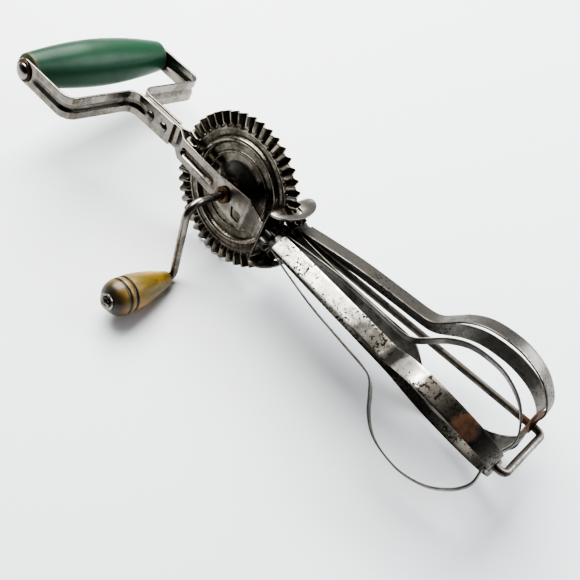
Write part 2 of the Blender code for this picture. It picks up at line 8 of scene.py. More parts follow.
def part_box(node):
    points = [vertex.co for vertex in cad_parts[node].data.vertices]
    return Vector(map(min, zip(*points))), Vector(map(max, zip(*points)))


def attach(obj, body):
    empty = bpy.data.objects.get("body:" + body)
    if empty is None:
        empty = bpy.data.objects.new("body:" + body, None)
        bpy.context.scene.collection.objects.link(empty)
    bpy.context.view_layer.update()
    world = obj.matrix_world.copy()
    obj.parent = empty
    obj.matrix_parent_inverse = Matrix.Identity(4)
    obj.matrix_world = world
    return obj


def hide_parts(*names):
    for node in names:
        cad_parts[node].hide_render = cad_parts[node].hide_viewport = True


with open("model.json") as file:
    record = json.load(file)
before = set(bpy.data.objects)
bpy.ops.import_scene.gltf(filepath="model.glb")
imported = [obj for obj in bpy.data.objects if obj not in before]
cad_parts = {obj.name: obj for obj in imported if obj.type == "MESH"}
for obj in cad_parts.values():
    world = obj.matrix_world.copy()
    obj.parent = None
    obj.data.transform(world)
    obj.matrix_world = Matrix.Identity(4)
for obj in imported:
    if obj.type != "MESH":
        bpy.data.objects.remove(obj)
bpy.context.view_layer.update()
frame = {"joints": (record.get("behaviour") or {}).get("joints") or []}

joints = {joint["name"]: joint for joint in frame["joints"]}
wheelCentre = Vector(joints["crank_turn"]["pos_m"])
toWorld = Matrix.Translation(wheelCentre) @ Matrix.Scale(0.001, 4)  # pieces are drawn in mm about the wheel


def nodeBox(name):
    low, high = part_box(name)
    return (Vector(low) - wheelCentre) * 1000, (Vector(high) - wheelCentre) * 1000


# sizes that several pieces share, in mm from the wheel's centre
shaftRadius = 2.0
axleSplay = radians(4.3585)
pinionX = 34.05
axleTop = 8.1
gripX = (nodeBox("grip")[0].x + nodeBox("grip")[1].x) / 2
crankLow, crankHigh = nodeBox("crank_rod")

# small modelling helpers; every shape is a bmesh in mm


def addObject(name, data):
    thing = bpy.data.objects.new(name, data)
    bpy.context.scene.collection.objects.link(thing)
    return thing


def drop(thing):
    bpy.data.objects.remove(thing, do_unlink=True)


def addMesh(bm, name):
    mesh = bpy.data.meshes.new(name)
    bm.to_mesh(mesh)
    bm.free()
    return addObject(name, mesh)


def deliver(bm, name, body, finish, stands=None, smooth=35.0):
    bmesh.ops.remove_doubles(bm, verts=bm.verts, dist=0.0005)
    bmesh.ops.recalc_face_normals(bm, faces=bm.faces)
    bmesh.ops.transform(bm, matrix=toWorld, verts=bm.verts)
    label = name.replace(" ", "_")
    piece = addMesh(bm, label + "_finished")
    mesh = piece.data
    mesh.materials.clear()
    mesh.materials.append(finishes[finish])
    mesh.polygons.foreach_set("use_smooth", [True] * len(mesh.polygons))
    mesh.set_sharp_from_angle(angle=radians(smooth))
    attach(piece, body)
    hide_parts(*(stands or [label]))


def tangentAt(path, i):
    return (path[min(i + 1, len(path) - 1)] - path[max(i - 1, 0)]).normalized()


def skinRows(bm, rows):
    for a, b in zip(rows, rows[1:]):
        for k in range(len(a)):
            m = (k + 1) % len(a)
            bm.faces.new((a[k], a[m], b[m], b[k]))
    bm.faces.new(rows[0])
    bm.faces.new(rows[-1])


def flow(points, samples=8):
    points = [Vector(p) for p in points]
    ends = [2 * points[0] - points[1]] + points + [2 * points[-1] - points[-2]]
    path = []
    for p0, p1, p2, p3 in zip(ends, ends[1:], ends[2:], ends[3:]):
        for i in range(samples):
            t = i / samples
            path.append(0.5 * (2 * p1 + (p2 - p0) * t + (2 * p0 - 5 * p1 + 4 * p2 - p3) * t ** 2
                               + (3 * p1 - p0 - 3 * p2 + p3) * t ** 3))
    return path + [points[-1]]


def rounded(corners, bends, steps=12):
    path = [Vector(corners[0])]
    for before, corner, after, bend in zip(corners, corners[1:], corners[2:], bends):
        corner = Vector(corner)
        into = (corner - Vector(before)).normalized()
        out = (Vector(after) - corner).normalized()
        turn = acos(max(-1.0, min(1.0, into.dot(out))))
        start = corner - into * bend * tan(turn / 2)
        spoke = start - (corner + (out - into).normalized() * (bend / cos(turn / 2)))
        side = into * bend
        for step in range(steps + 1):
            angle = turn * step / steps
            path.append(start - spoke + spoke * cos(angle) + side * sin(angle))
    path.append(Vector(corners[-1]))
    return path


def evenly(path, spacing, marks=()):
    runs = [0.0]
    for a, b in zip(path, path[1:]):
        runs.append(runs[-1] + (b - a).length)
    count = max(2, int(runs[-1] / spacing))
    wanted = sorted(set([runs[-1] * i / count for i in range(count + 1)] + list(marks)))
    out, k = [], 0
    for s in wanted:
        while k < len(runs) - 2 and runs[k + 1] < s:
            k += 1
        t = (s - runs[k]) / max(1e-9, runs[k + 1] - runs[k])
        out.append((s, path[k].lerp(path[k + 1], min(1.0, t))))
    return out, runs[-1]


def ribbon(path, halfWidth, thickness, across, relief=None, lanes=12, spacing=0.8, edge=0.3, marks=()):
    stations, total = evenly(path, spacing, marks)
    points = [p for s, p in stations]
    half = thickness / 2
    bm = bmesh.new()
    grime = bm.verts.layers.float.new("grime")
    rows = []
    for i, (s, p) in enumerate(stations):
        normal = tangentAt(points, i).cross(across).normalized()
        wide = halfWidth(s, total)
        lip = min(edge, half * 0.95, wide * 0.6)
        loop = []
        for lane in range(lanes + 1):
            loop.append((-(wide - lip) + 2 * (wide - lip) * lane / lanes, half))
        loop += [(wide - lip * 0.29, half - lip * 0.29), (wide, half - lip), (wide, lip - half),
                 (wide - lip * 0.29, lip * 0.29 - half)]
        for lane in range(lanes + 1):
            loop.append(((wide - lip) - 2 * (wide - lip) * lane / lanes, -half))
        loop += [(lip * 0.29 - wide, lip * 0.29 - half), (-wide, lip - half), (-wide, half - lip),
                 (lip * 0.29 - wide, half - lip * 0.29)]
        row = []
        for w, n in loop:
            sunk = relief(s, w, total) if relief else 0.0
            vert = bm.verts.new(p + across * w + normal * (n + sunk))
            # painted shade: the deeper a point is pressed in, the darker it is painted, so grooves and pressed
            # channels read as shaded
            vert[grime] = min(1.0, abs(sunk) / 1.2) ** 1.5
            row.append(vert)
        rows.append(row)
    skinRows(bm, rows)
    return bm


def turned(profile, steps=64, place=Matrix()):
    bm = bmesh.new()
    rings = []
    for radius, height in profile:
        if radius < 1e-6:
            rings.append([bm.verts.new((0, 0, height))])
        else:
            rings.append([bm.verts.new((radius * cos(2 * pi * i / steps), radius * sin(2 * pi * i / steps), height))
                          for i in range(steps)])
    closed = len(rings[0]) > 1
    pairs = list(zip(rings, rings[1:])) + ([(rings[-1], rings[0])] if closed else [])
    for a, b in pairs:
        for i in range(steps):
            j = (i + 1) % steps
            if len(a) == 1:
                bm.faces.new((a[0], b[i], b[j]))
            elif len(b) == 1:
                bm.faces.new((a[i], a[j], b[0]))
            else:
                bm.faces.new((a[i], a[j], b[j], b[i]))
    bmesh.ops.transform(bm, matrix=place, verts=bm.verts)
    return bm


def rodCutter(radius, low, high, steps, place):
    return turned([(0, high), (radius, high), (radius, low), (0, low)], steps, place)


def tube(path, radius, sides):
    bm = bmesh.new()
    rows = []
    normal = None
    for i, p in enumerate(path):
        tangent = tangentAt(path, i)
        if normal is None:
            normal = tangent.orthogonal().normalized()
        normal = (normal - tangent * normal.dot(tangent)).normalized()
        side = tangent.cross(normal)
        rows.append([bm.verts.new(p + (normal * cos(2 * pi * k / sides) + side * sin(2 * pi * k / sides)) * radius)
                     for k in range(sides)])
    skinRows(bm, rows)
    return bm


def join(bm, other):
    mesh = bpy.data.meshes.new("join")
    other.to_mesh(mesh)
    other.free()
    bm.from_mesh(mesh)
    bpy.data.meshes.remove(mesh)
    return bm


def box(low, high):
    bm = bmesh.new()
    bmesh.ops.create_cube(bm, size=1.0)
    low, high = Vector(low), Vector(high)
    for v in bm.verts:
        v.co = Vector((low[k] + (v.co[k] + 0.5) * (high[k] - low[k]) for k in range(3)))
    return bm


def prism(outline, low, high, axis):
    def point(a, b, c):
        return {"X": (c, a, b), "Y": (a, c, b), "Z": (a, b, c)}[axis]

    bm = bmesh.new()
    skinRows(bm, [[bm.verts.new(point(a, b, end)) for a, b in outline] for end in (low, high)])
    return bm


def partFor(bm, name):
    bmesh.ops.recalc_face_normals(bm, faces=bm.faces)
    return addMesh(bm, name)


def evaluated(thing):
    mesh = bpy.data.meshes.new_from_object(thing.evaluated_get(bpy.context.evaluated_depsgraph_get()))
    bm = bmesh.new()
    bm.from_mesh(mesh)
    bpy.data.meshes.remove(mesh)
    return bm


def carve(bm, tools, bevel=0.0):
    work = partFor(bm, "work")
    made = [work]
    for operation, tool in tools:
        cutter = partFor(tool, "cutter")
        made.append(cutter)
        cut = work.modifiers.new("cut", "BOOLEAN")
        cut.operation = operation
        cut.solver = "EXACT"
        cut.object = cutter
    if bevel:
        soften = work.modifiers.new("soften", "BEVEL")
        soften.width = bevel
        soften.segments = 2
        soften.limit_method = "ANGLE"
        soften.angle_limit = radians(40)
    result = evaluated(work)
    for thing in made:
        drop(thing)
    return result


def step(low, high, x):
    t = max(0.0, min(1.0, (x - low) / (high - low)))
    return t * t * (3 - 2 * t)


def arc(centre, a, b, start, end, count):
    return [(centre[0] + a * cos(start + (end - start) * i / count),
             centre[1] + b * sin(start + (end - start) * i / count)) for i in range(count + 1)]


alongY = Matrix.Rotation(-pi / 2, 4, "X")  # turned shapes have their height along Z
alongX = Matrix.Rotation(pi / 2, 4, "Y")

# helpers for both kinds of node tree, then the shader groups


def node(tree, kind, settings=None, **inputs):
    made = tree.nodes.new(kind)
    for key, value in (settings or {}).items():
        setattr(made, key, value)
    for key, value in inputs.items():
        numbered = key[0] == "i" and key[1:].isdigit()
        socket = made.inputs[int(key[1:]) if numbered else key.replace("_", " ")]
        if isinstance(value, bpy.types.NodeSocket):
            tree.links.new(value, socket)
        else:
            socket.default_value = value
    return made


def newGroup(name, inputs, outputs=("Mask",), kind="ShaderNodeTree"):
    tree = bpy.data.node_groups.new(name, kind)
    kinds = {float: "Float", int: "Int", tuple: "Vector"}
    for label, value in inputs.items():
        socketType = "NodeSocket" + (value if isinstance(value, str) else kinds[type(value)])
        socket = tree.interface.new_socket(label, in_out="INPUT", socket_type=socketType)
        if not isinstance(value, str):
            socket.default_value = value
    for label in outputs:
        socketType = "NodeSocketGeometry" if label == "Geometry" else "NodeSocketFloat"
        tree.interface.new_socket(label, in_out="OUTPUT", socket_type=socketType)
    return tree, tree.nodes.new("NodeGroupInput").outputs, tree.nodes.new("NodeGroupOutput")


def smoothRange(tree, value, low, high):
    return node(tree, "ShaderNodeMapRange", {"interpolation_type": "SMOOTHSTEP"}, Value=value, i1=low,
                i2=high).outputs[0]


def noise(tree, place, size, **inputs):
    return node(tree, "ShaderNodeTexNoise", Vector=place, Scale=size, **inputs).outputs[0]


def here(tree, stretch=None):
    place = node(tree, "ShaderNodeTexCoord").outputs["Object"]
    return node(tree, "ShaderNodeMapping", Vector=place, Scale=stretch).outputs[0] if stretch else place


def math(tree, operation, a, b=0.0, c=0.0):
    return node(tree, "ShaderNodeMath", {"operation": operation}, i0=a, i1=b, i2=c).outputs[0]


def times(tree, a, b):
    return math(tree, "MULTIPLY", a, b)


def mulAdd(tree, a, b, c):
    return math(tree, "MULTIPLY_ADD", a, b, c)


def between(tree, share, low, high):
    return node(tree, "ShaderNodeMapRange", Value=share, i3=low, i4=high).outputs[0]


def closeGroup(tree, out, *values):
    for k, value in enumerate(values):
        tree.links.new(value, out.inputs[k])
    return tree


def stainGroup():
    tree, given, out = newGroup("cloudy stain", {"Size": 60.0, "Stretch": (1, 1, 1), "Low": 0.4, "High": 0.6})
    cloud = noise(tree, here(tree, given["Stretch"]), given["Size"], Detail=7.0, Roughness=0.62)
    return closeGroup(tree, out, smoothRange(tree, cloud, given["Low"], given["High"]))


def pitGroup():
    tree, given, out = newGroup("pits and specks", {
        "Size": 900.0, "Stretch": (1, 1, 1), "Amount": 0.3, "Cluster Size": 90.0})
    turn = here(tree, given["Stretch"])
    fine = noise(tree, turn, given["Size"], Detail=3.0, Roughness=0.7)
    cluster = noise(tree, turn, given["Cluster Size"], Detail=3.0)
    both = mulAdd(tree, cluster, 0.55, fine)
    level = mulAdd(tree, given["Amount"], -0.45, 1.12)
    return closeGroup(tree, out, smoothRange(tree, both, level, math(tree, "ADD", level, 0.05)))


def brushGroup():
    tree, given, out = newGroup("rolled lines", {"Size": 500.0, "Stretch": (0.05, 1, 1)}, ["Value"])
    lines = noise(tree, here(tree, given["Stretch"]), given["Size"], Detail=4.0, Roughness=0.7)
    return closeGroup(tree, out, lines)


def rustGroup():
    tree, given, out = newGroup("rust patch", {"Centre": (0, 0, 0), "Reach": 0.02, "Size": 220.0, "Ragged": 0.8})
    place = here(tree)
    away = node(tree, "ShaderNodeVectorMath", {"operation": "DISTANCE"}, i0=place, i1=given["Centre"])
    near = math(tree, "DIVIDE", away.outputs["Value"], given["Reach"])
    shift = math(tree, "SUBTRACT", noise(tree, place, given["Size"], Detail=6.0, Roughness=0.65), 0.5)
    rough = mulAdd(tree, shift, given["Ragged"], near)
    return closeGroup(tree, out, smoothRange(tree, rough, 1.0, 0.55))


def grainGroup():
    tree, given, out = newGroup("wood grain", {"Size": 900.0, "Stretch": (1, 0.06, 1)}, ["Value", "Pores"])
    grain = noise(tree, here(tree, given["Stretch"]), given["Size"], Detail=5.0, Roughness=0.6, Distortion=0.4)
    return closeGroup(tree, out, grain, smoothRange(tree, grain, 0.56, 0.66))


groups = {"stain": stainGroup(), "pits": pitGroup(), "brush": brushGroup(), "rust": rustGroup(),
          "grain": grainGroup()}
print("stage: shader groups are ready")


def useBoth(tree, name, **inputs):
    made = tree.nodes.new("ShaderNodeGroup")
    made.node_tree = groups[name]
    for key, value in inputs.items():
        made.inputs[key.replace("_", " ")].default_value = value
    return made.outputs


def use(tree, name, **inputs):
    return useBoth(tree, name, **inputs)[0]


def mix(tree, mask, a, b):
    blendNode = tree.nodes.new("ShaderNodeMix")
    blendNode.data_type = "RGBA"
    for socket, value in ((blendNode.inputs[0], mask), (blendNode.inputs[6], a), (blendNode.inputs[7], b)):
        if isinstance(value, bpy.types.NodeSocket):
            tree.links.new(value, socket)
        elif isinstance(value, (int, float)):
            socket.default_value = value
        else:
            socket.default_value = (*value, 1)
    return blendNode.outputs[2]


def newMaterial(name):
    material = bpy.data.materials.new(name)
    material.use_nodes = True
    return material, material.node_tree, material.node_tree.nodes["Principled BSDF"]


def dress(tree, shader, colour, rough, height, strength, distance):
    bump = node(tree, "ShaderNodeBump", Strength=strength, Distance=distance, Height=height)
    tree.links.new(colour, shader.inputs["Base Color"])
    tree.links.new(rough, shader.inputs["Roughness"])
    tree.links.new(bump.outputs[0], shader.inputs["Normal"])


# metals: bright plate, cloudy tarnish, dark pits, painted shade in grooves, valleys and pockets, and rust where it has
# come through

metals = {
    "nickel plate": {
        "bright": (0.29, 0.27, 0.24), "dull": (0.10, 0.09, 0.074), "pit": (0.05, 0.04, 0.03),
        "stainSize": 70.0, "stain": (0.42, 0.66), "pitSize": 700.0, "pits": 0.26, "pitCluster": 90.0,
        "lines": (0.06, 1.0, 1.0), "roughness": (0.20, 0.42), "bump": 0.06},
    "worn wheel plate": {
        "bright": (0.33, 0.30, 0.255), "dull": (0.11, 0.094, 0.073), "pit": (0.035, 0.03, 0.022),
        "stainSize": 110.0, "stain": (0.38, 0.62), "pitSize": 600.0, "pits": 0.36, "pitCluster": 110.0,
        "roughness": (0.18, 0.42), "bump": 0.09},
    "blackened steel": {
        "bright": (0.15, 0.14, 0.13), "dull": (0.05, 0.046, 0.042), "pit": (0.02, 0.02, 0.018),
        "stainSize": 160.0, "stain": (0.4, 0.65), "pitSize": 700.0, "pits": 0.4, "pitCluster": 150.0,
        "roughness": (0.30, 0.6), "bump": 0.1},
    "tinned strip": {
        "bright": (0.165, 0.155, 0.138), "dull": (0.062, 0.057, 0.049), "pit": (0.03, 0.027, 0.023),
        "stainSize": 45.0, "stain": (0.40, 0.62), "pitSize": 900.0, "pits": 0.46, "pitCluster": 60.0,
        "lines": (0.04, 1.0, 1.0), "roughness": (0.27, 0.5), "bump": 0.08, "rust": (176.0, 18.0, 4.0, 12.0)},
    "bright strip": {
        "bright": (0.145, 0.135, 0.12), "dull": (0.058, 0.053, 0.045), "pit": (0.03, 0.026, 0.021),
        "stainSize": 42.0, "stain": (0.42, 0.66), "pitSize": 760.0, "pits": 0.66, "pitCluster": 70.0,
        "lines": (0.04, 1.0, 1.0), "roughness": (0.28, 0.5), "bump": 0.08, "rust": (159.0, -37.0, 19.0, 7.0),
        "patches": [(62.0, -16.0, 6.0, 42.0), (127.0, -36.0, 18.5, 11.0)], "tin": (0.74, 0.71, 0.65)},
    "bare wire": {
        "bright": (0.24, 0.22, 0.195), "dull": (0.10, 0.09, 0.075), "pit": (0.03, 0.025, 0.02),
        "stainSize": 120.0, "stain": (0.4, 0.62), "pitSize": 650.0, "pits": 0.42, "pitCluster": 120.0,
        "lines": (0.05, 1.0, 1.0), "roughness": (0.28, 0.55), "bump": 0.1, "rust": (172.0, 20.0, 0.0, 8.0)},
    "brown steel": {
        "bright": (0.16, 0.105, 0.065), "dull": (0.06, 0.038, 0.024), "pit": (0.03, 0.02, 0.012),
        "stainSize": 200.0, "stain": (0.4, 0.6), "pitSize": 800.0, "pits": 0.4, "pitCluster": 200.0,
        "roughness": (0.32, 0.62), "bump": 0.12},
}
rustTones = {"orange": (0.13, 0.055, 0.022), "brown": (0.05, 0.028, 0.016)}


def atSpot(spot, reach):
    return {"Centre": wheelCentre + Vector(spot) * 0.001, "Reach": reach * 0.001}


def makeMetal(name):
    facts = metals[name]
    material, tree, shader = newMaterial(name)
    stain = use(tree, "stain", Size=facts["stainSize"], Low=facts["stain"][0], High=facts["stain"][1])
    haze = use(tree, "stain", Size=facts["stainSize"] * 5, Low=0.35, High=0.75)
    pits = use(tree, "pits", Size=facts["pitSize"], Amount=facts["pits"], Cluster_Size=facts["pitCluster"])
    lines = use(tree, "brush", Size=900.0, Stretch=facts.get("lines", (1, 1, 1)))
    cloud = mulAdd(tree, haze, 0.28, times(tree, stain, 0.72))
    cloud = math(tree, "ADD", cloud, mulAdd(tree, lines, 0.5, -0.25))
    cloud = node(tree, "ShaderNodeClamp", Value=cloud).outputs[0]
    colour = mix(tree, cloud, facts["bright"], facts["dull"])
    for *spot, reach in facts.get("patches", []):
        patch = use(tree, "rust", **atSpot(spot, reach), Size=160.0, Ragged=0.9)
        tin = mix(tree, times(tree, haze, 0.55), facts["tin"], facts["bright"])
        colour = mix(tree, patch, colour, tin)
    # painted shade: the vertex attribute read here darkens grooves, tooth valleys and pocket floors toward the pit
    # colour; on the wheel it also darkens rings by radius
    grime = node(tree, "ShaderNodeAttribute", {"attribute_name": "grime"}).outputs["Fac"]
    shade_and_dark_mask = times(tree, grime, mulAdd(tree, haze, 0.3, 0.72))
    colour = mix(tree, pits, mix(tree, shade_and_dark_mask, colour, facts["pit"]), facts["pit"])
    rough = mulAdd(tree, pits, 0.25, between(tree, cloud, *facts["roughness"]))
    shader.inputs["Metallic"].default_value = 1.0
    if "rust" in facts:
        *spot, reach = facts["rust"]
        rust = use(tree, "rust", **atSpot(spot, reach))
        tone = use(tree, "stain", Size=300.0, Low=0.35, High=0.65)
        colour = mix(tree, rust, colour, mix(tree, tone, rustTones["orange"], rustTones["brown"]))
        rough = mulAdd(tree, rust, 0.3, rough)
        tree.links.new(mulAdd(tree, rust, -0.85, 1.0), shader.inputs["Metallic"])
    height = mulAdd(tree, pits, -0.8, times(tree, lines, 0.35))
    dress(tree, shader, colour, rough, height, facts["bump"] * 4, 0.0002)
    return material


finishes = {name: makeMetal(name) for name in metals}

# painted grip and stained knob

paint = {
    "green": (0.019, 0.068, 0.034), "deep": (0.012, 0.045, 0.023), "bare": (0.16, 0.11, 0.06),
    "scuff": (0.10, 0.24, 0.16), "roughness": (0.34, 0.48), "wornFrom": 0.0405, "wornTo": 0.0440,
    "coat": (0.06, 0.2), "specular": 0.22}


def makePaint():
    material, tree, shader = newMaterial("green paint")
    cloud = use(tree, "stain", Size=35.0, Low=0.3, High=0.75)
    grain, pores = useBoth(tree, "grain", Size=700.0, Stretch=(1.0, 0.05, 1.0))
    scuffs = use(tree, "pits", Size=500.0, Stretch=(1.0, 0.5, 1.0), Amount=0.16, Cluster_Size=60.0)
    chips = use(tree, "pits", Size=260.0, Amount=0.10, Cluster_Size=40.0)
    split = node(tree, "ShaderNodeSeparateXYZ", Vector=here(tree))
    fromMiddle = math(tree, "ABSOLUTE", math(tree, "SUBTRACT", split.outputs[1], wheelCentre.y))
    ends = smoothRange(tree, fromMiddle, paint["wornFrom"], paint["wornTo"])
    wornEnd = times(tree, ends, mulAdd(tree, grain, 0.9, 0.1))
    colour = mix(tree, cloud, paint["green"], paint["deep"])
    colour = mix(tree, times(tree, pores, 0.25), colour, paint["deep"])
    colour = mix(tree, times(tree, scuffs, 0.4), colour, paint["scuff"])
    bare = math(tree, "MAXIMUM", times(tree, wornEnd, 0.8), times(tree, chips, ends))
    colour = mix(tree, bare, colour, paint["bare"])
    rough = between(tree, cloud, *paint["roughness"])
    height = mulAdd(tree, grain, 0.5, times(tree, cloud, 0.3))
    dress(tree, shader, colour, rough, height, 0.25, 0.0002)
    shader.inputs["Coat Weight"].default_value, shader.inputs["Coat Roughness"].default_value = paint["coat"]
    shader.inputs["Specular IOR Level"].default_value = paint["specular"]
    return material


stain = {
    "gold": (0.33, 0.185, 0.022), "olive": (0.15, 0.105, 0.018), "painted_glow": (0.50, 0.19, 0.02),
    "pores": (0.10, 0.062, 0.014), "groove": (0.022, 0.017, 0.010),
    "startY": -0.0314, "endY": -0.0688, "roughness": (0.30, 0.50), "coat": (0.3, 0.25),
    # share of the length and how dark it is: both ends and the two burnt lines
    "dark": [(0.0, 0.45), (0.05, 0.0), (0.685, 0.0), (0.703, 1.0), (0.732, 1.0), (0.752, 0.15), (0.785, 0.15),
             (0.803, 1.0), (0.832, 1.0), (0.855, 0.35), (0.90, 0.5), (0.95, 0.85), (1.0, 1.0)]}


def makeStain():
    material, tree, shader = newMaterial("ochre stained wood")
    grain, pores = useBoth(tree, "grain", Size=1100.0, Stretch=(1.0, 0.07, 1.0))
    cloud = use(tree, "stain", Size=85.0, Stretch=(1.0, 0.6, 1.0), Low=0.36, High=0.64)
    wear = use(tree, "pits", Size=450.0, Stretch=(1.0, 0.3, 1.0), Amount=0.3, Cluster_Size=80.0)
    split = node(tree, "ShaderNodeSeparateXYZ", Vector=here(tree))
    along = node(tree, "ShaderNodeMapRange", Value=split.outputs[1], i1=wheelCentre.y + stain["startY"],
                 i2=wheelCentre.y + stain["endY"])
    ramp = node(tree, "ShaderNodeValToRGB", i0=along.outputs[0])
    bands = ramp.color_ramp.elements
    for k, (spot, value) in enumerate(stain["dark"]):
        element = bands[k] if k < 2 else bands.new(spot)
        element.position = spot
        element.color = (value, value, value, 1)
    dark = node(tree, "ShaderNodeClamp", Value=mulAdd(tree, wear, 0.2, ramp.outputs[0])).outputs[0]
    colour = mix(tree, cloud, stain["gold"], stain["olive"])
    # painted glow: a patch on the knob's lower side is painted bright orange as glowing light
    glow = use(tree, "rust", **atSpot((4.0, -52.0, -52.0), 13.0), Size=120.0)
    colour = mix(tree, times(tree, glow, 0.55), colour, stain["painted_glow"])
    colour = mix(tree, times(tree, pores, 0.6), colour, stain["pores"])
    colour = mix(tree, dark, colour, stain["groove"])
    dress(tree, shader, colour, between(tree, grain, *stain["roughness"]), times(tree, pores, -0.6), 0.3, 0.0003)
    shader.inputs["Coat Weight"].default_value, shader.inputs["Coat Roughness"].default_value = stain["coat"]
    return material


finishes["green paint"] = makePaint()
finishes["ochre wood"] = makeStain()
print("stage: finishes are ready")

# handle: grip, rod, washers and half straps

handle = {
    "gripEnd": 8.2, "gripMiddle": 12.4, "gripHalf": 43.65, "lip": 1.0, "bore": 2.6, "rod": 2.3,
    "headRadius": 4.3, "headRise": 2.0, "headAt": 46.25,
    "strapHalfWidth": 6.3, "strapThickness": 1.3, "strapSpan": 44.6, "crossX": -79.0, "endX": -48.0,
    "strapNeck": 2.3, "outerBend": 6.5, "innerBend": 6.0,
    "grooveHalf": 2.3, "grooveDepth": 0.85, "grooveEnds": ((11.0, 19.0), (24.0, 17.0)), "washer": (5.6, 45.4, 46.1)}


gripPlace = Matrix.Translation((gripX, 0, 0)) @ alongY


def mirrored(points):
    return [(r, -h) for r, h in points]


def makeGrip():
    half, lip = handle["gripHalf"], handle["lip"]
    swell = handle["gripMiddle"] - handle["gripEnd"]
    skin = []
    for i in range(49):
        height = (half - lip) * (1 - i / 24)
        skin.append((handle["gripEnd"] + swell * max(0.0, cos(height / half * pi / 2)) ** 0.9, height))
    edge = [(skin[0][0] - lip * (1 - sin(a)), half - lip * (1 - cos(a))) for a in (0.0, 0.4, 0.8, 1.2)]
    bore = handle["bore"]
    profile = [(bore, half)] + edge + skin + mirrored(edge[::-1]) + [(bore, -half)]
    bm = turned(profile, 96, gripPlace)
    deliver(bm, "grip barrel", "frame", "green paint", ["grip"])


def domed(radius, rise, base, count=10):
    return [(radius * cos(i * pi / 2 / count), base + rise * sin(i * pi / 2 / count)) for i in range(count)] + \
        [(0, base + rise)]


def makeGripRod():
    top = domed(handle["headRadius"], handle["headRise"], handle["headAt"])
    stem = [(handle["rod"], handle["headAt"])]
    profile = top[::-1] + stem + mirrored(stem) + mirrored(top)
    bm = turned(profile, 48, gripPlace)
    deliver(bm, "grip rod", "frame", "nickel plate")
    for label, side in (("front", -1), ("rear", 1)):
        radius, near, far = handle["washer"]
        ring = [(handle["bore"], near), (radius - 0.2, near), (radius, near + 0.15), (radius, far - 0.2),
                (radius - 0.25, far), (handle["bore"], far)]
        ring = [(r, side * h) for r, h in ring]
        bm = turned(ring, 64, gripPlace)
        deliver(bm, label + " grip washer", "frame", "brown steel")


def makeHalfStrap(side, label):
    h = handle
    wide = h["strapHalfWidth"]
    path = rounded([(gripX - wide, side * h["strapSpan"], 0), (h["crossX"], side * h["strapSpan"], 0),
                    (h["crossX"], side * h["strapNeck"], 0), (h["endX"], side * h["strapNeck"], 0)],
                   (h["outerBend"], h["innerBend"]))

    def halfWidth(s, total):
        if s < wide:
            return max(0.25, sqrt(max(0.0, wide ** 2 - (wide - s) ** 2)))
        return wide

    def relief(s, w, total):
        (near, in0), (far, in1) = h["grooveEnds"]
        run = step(near, in0, s) * (1 - step(total - far, total - in1, s))
        across = max(0.0, 1 - (w / h["grooveHalf"]) ** 2)
        return h["grooveDepth"] * run * across ** 1.3 * side

    marks = [wide * (1 - cos(a * pi / 24)) for a in range(13)]
    bm = ribbon(path, halfWidth, h["strapThickness"], Vector((0, 0, 1)), relief, 28, 0.8, 0.35, marks)
    deliver(bm, label + " half strap", "frame", "nickel plate")


makeGrip()
makeGripRod()
makeHalfStrap(-1, "front")
makeHalfStrap(1, "rear")
print("stage: handle is built")

# frame plates, neck rivets and guard

plate = {
    "thickness": 1.2, "startX": -72.0, "openX": -44.0, "sideX": -36.5, "neckY": 0.75, "sideY": 5.6,
    "foldX": 27.8, "foldY": 11.32, "slotHalf": 2.7, "bend": 3.0,
    "outline": [(-72.0, 5.9), (-36.5, 5.9), (-7.9, 6.4), (12.4, 8.8), (15.6, 9.2), (16.3, 8.9), (16.9, 7.4),
                (25.8, 5.2), (31.0, 5.0)],
    "groove": (-36.0, -8.5, 2.5, 1.9),
    "window": [(6.9, -1.2), (13.6, -1.2), (14.6, -2.0), (14.6, -5.6), (13.8, -6.3), (9.4, -6.3), (8.6, -5.8)],
    "joggle": (15.4, 16.6, 24.0, 26.0, 0.9)}


def makePlate(side, label):
    p = plate
    path = rounded([(p["startX"], side * p["neckY"], 0), (p["openX"], side * p["neckY"], 0),
                    (p["sideX"], side * p["sideY"], 0), (p["foldX"], side * p["foldY"], 0),
                    (p["foldX"], side * p["slotHalf"], 0)], (p["bend"], p["bend"], 1.2))
    stations, total = evenly(path, 0.5)
    xs = [(s, q.x) for s, q in stations]

    def xAt(s):
        return min(xs, key=lambda pair: abs(pair[0] - s))[1] if s < total - 9 else p["foldX"]

    def halfWidth(s, total):
        x = xAt(s)
        for (x0, w0), (x1, w1) in zip(p["outline"], p["outline"][1:]):
            if x <= x1:
                return w0 + (w1 - w0) * (x - x0) / (x1 - x0)
        return p["outline"][-1][1]

    def relief(s, w, total):
        x = xAt(s)
        start, end, half, depth = p["groove"]
        away = max(0.0, abs(x - (start + end) / 2) - ((end - start) / 2 - half))
        sunk = depth * (1 - step(0.5, 1.0, hypot(w, away) / half))
        a, b, c, d, drop = p["joggle"]
        return (sunk + drop * step(a, b, x) * (1 - step(c, d, x))) * side

    bm = ribbon(path, halfWidth, p["thickness"], Vector((0, 0, 1)), relief, 32, 0.5, 0.25)
    window = prism(p["window"], *sorted((side * 3.0, side * 14.0)), "Y")
    bm = carve(bm, [("DIFFERENCE", window)])
    deliver(bm, label + " frame plate", "frame", "nickel plate")


def growTree(name, **inputs):
    inputs = {label.replace("_", " "): value for label, value in inputs.items()}
    return newGroup(name, {"Geometry": "Geometry", **inputs, "Finish": "Material"}, ["Geometry"], "GeometryNodeTree")


def endTree(tree, given, out, geometry):
    whole = node(tree, "GeometryNodeRealizeInstances", Geometry=geometry)
    painted = node(tree, "GeometryNodeSetMaterial", Geometry=whole.outputs[0], Material=given["Finish"])
    tree.links.new(painted.outputs[0], out.inputs[0])
    return tree


